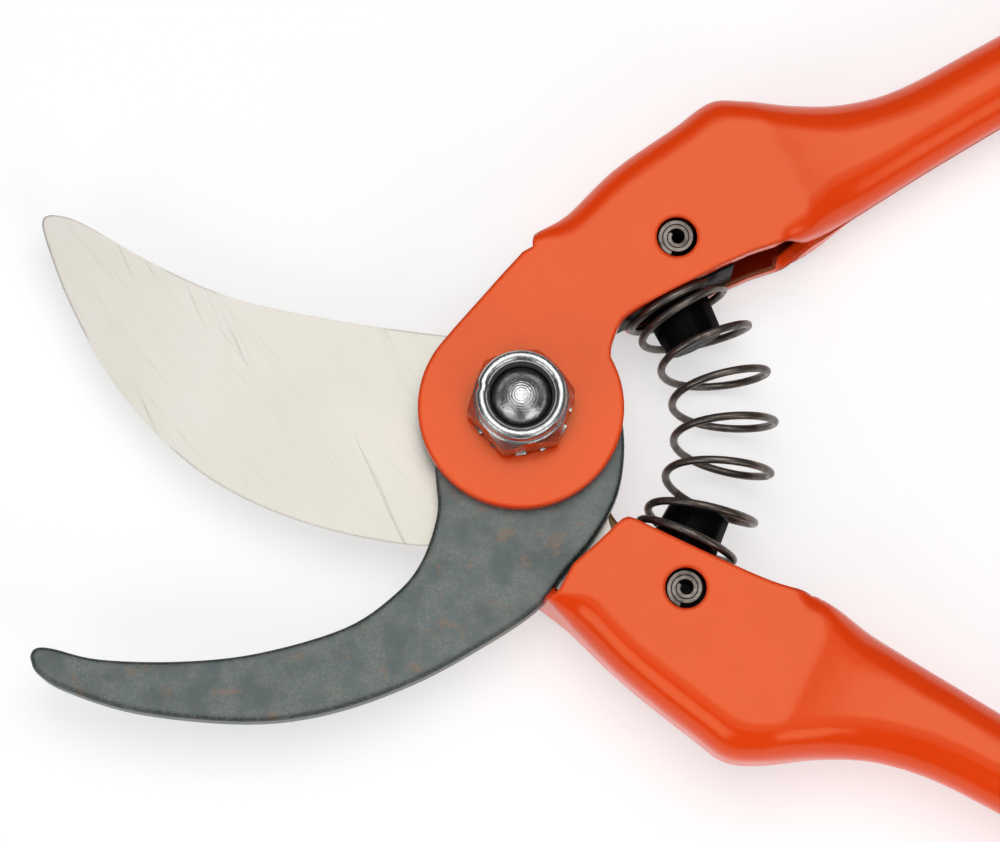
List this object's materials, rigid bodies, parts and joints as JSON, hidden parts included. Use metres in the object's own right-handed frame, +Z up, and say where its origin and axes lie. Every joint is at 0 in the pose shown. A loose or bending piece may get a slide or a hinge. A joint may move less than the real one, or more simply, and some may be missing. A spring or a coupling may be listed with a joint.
{
  "type": "bypass pruning shears",
  "caption": "Hand pruning shears: a curved cutting blade slides past a hooked counter-blade on a nut-and-bolt pivot, between pressed channel handles held open by a coil spring.",
  "frame": {"origin": "middle of the bounding box of the open tool, on the plane that it lies on", "axes": "+X from the blades towards the handle ends, +Y towards the handle of the hooked blade, +Z up along the pivot bolt, from its head to its nut"},
  "size_m": [0.1966, 0.1568, 0.0223],
  "materials": {
    "handle_enamel": "gloss orange-red enamel on pressed steel",
    "cutting_steel": "satin ground steel",
    "counter_steel": "dark phosphated forged steel",
    "bright_zinc": "bright zinc plate",
    "dark_spring_steel": "oil-blackened spring steel",
    "locking_nylon": "dull nylon",
    "black_plastic": "satin moulded plastic"
  },
  "bodies": {
    "upper_lever": {"upper_handle": "handle_enamel", "counter_blade": "counter_steel", "upper_spring_seat": "black_plastic", "upper_seat_pin": "dark_spring_steel", "return_spring": "dark_spring_steel"},
    "lower_lever": {"lower_handle": "handle_enamel", "cutting_blade": "cutting_steel", "lower_spring_seat": "black_plastic", "lower_seat_pin": "dark_spring_steel", "pivot_bolt": "bright_zinc", "pivot_nut": "bright_zinc", "nut_locking_ring": "locking_nylon", "pivot_tooth_washer": "bright_zinc"},
    "catch": {"closing_catch": "bright_zinc"}
  },
  "joints": [
    {"name": "lever_pivot", "type": "hinge", "parent": "upper_lever", "child": "lower_lever", "pos_m": [-0.03301, 0.00082, 0.00865], "axis": [0, 0, 1], "range_deg": [0, 51], "stiffness_Nm_per_rad": 1.4, "springref_deg": -28.65, "deforming": ["return_spring"]},
    {"name": "catch_swing", "type": "hinge", "parent": "upper_lever", "child": "catch", "pos_m": [0.09115, 0.07267, 0.00865], "axis": [0, 0, 1], "range_deg": [-258, 0]}
  ]
}
